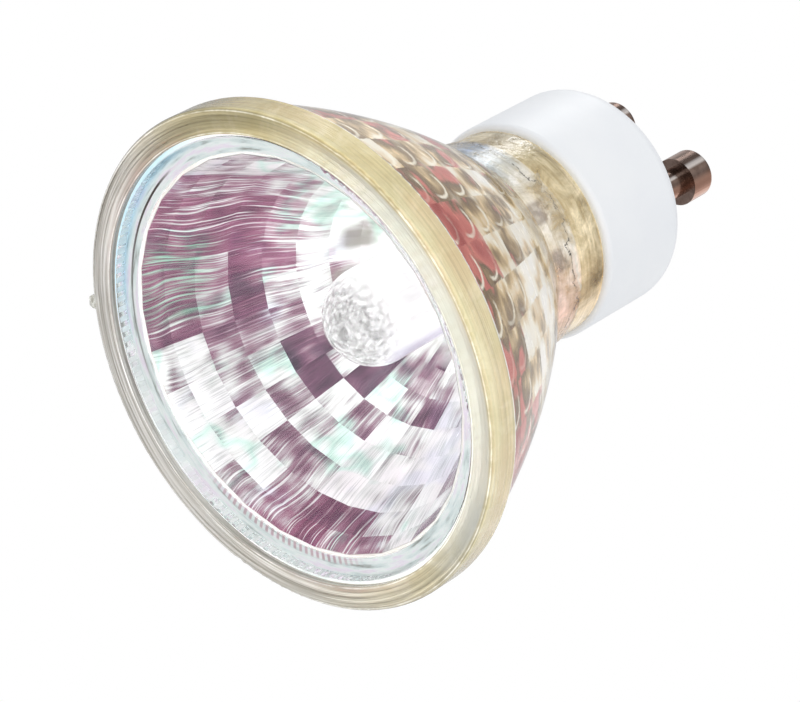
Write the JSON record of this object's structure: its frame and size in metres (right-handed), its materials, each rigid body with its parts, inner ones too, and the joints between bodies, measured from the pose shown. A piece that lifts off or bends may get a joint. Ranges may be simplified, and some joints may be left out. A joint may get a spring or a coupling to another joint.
{
  "type": "halogen reflector lamp",
  "caption": "Mains halogen reflector lamp with a faceted glass bowl, flat front glass, quartz capsule and ceramic twist-lock base with headed pins.",
  "frame": {"origin": "centre of the rim's front face, on which the lamp stands face down", "axes": "+Z along the lamp's axis from the front face to the contact pins; the two pins stand apart along X, 1.5 mm off the axis towards -Y"},
  "size_m": [0.05, 0.05, 0.0564],
  "materials": {
    "reflector_glass": "pressed glass with a dichroic film inside",
    "cover_glass": "clear polished",
    "sealant": "translucent",
    "quartz": "clear quartz",
    "tungsten": "drawn wire",
    "molybdenum": "drawn wire",
    "nickel": "dull nickel plate",
    "cement": "matt",
    "ceramic": "smooth white"
  },
  "bodies": {
    "root": {"reflector": "reflector_glass", "front_glass": "cover_glass", "front_glass_sealant": "sealant", "capsule_envelope": "quartz", "filament": "tungsten", "inner_lead_a": "molybdenum", "inner_lead_b": "molybdenum", "seal_foil_a": "molybdenum", "seal_foil_b": "molybdenum", "outer_lead_a": "nickel", "outer_lead_b": "nickel", "capsule_cement": "cement", "ceramic_base": "ceramic", "base_cement": "cement", "contact_pin_a": "nickel", "contact_pin_b": "nickel", "pin_washer_a": "nickel", "pin_washer_b": "nickel"}
  },
  "joints": []
}
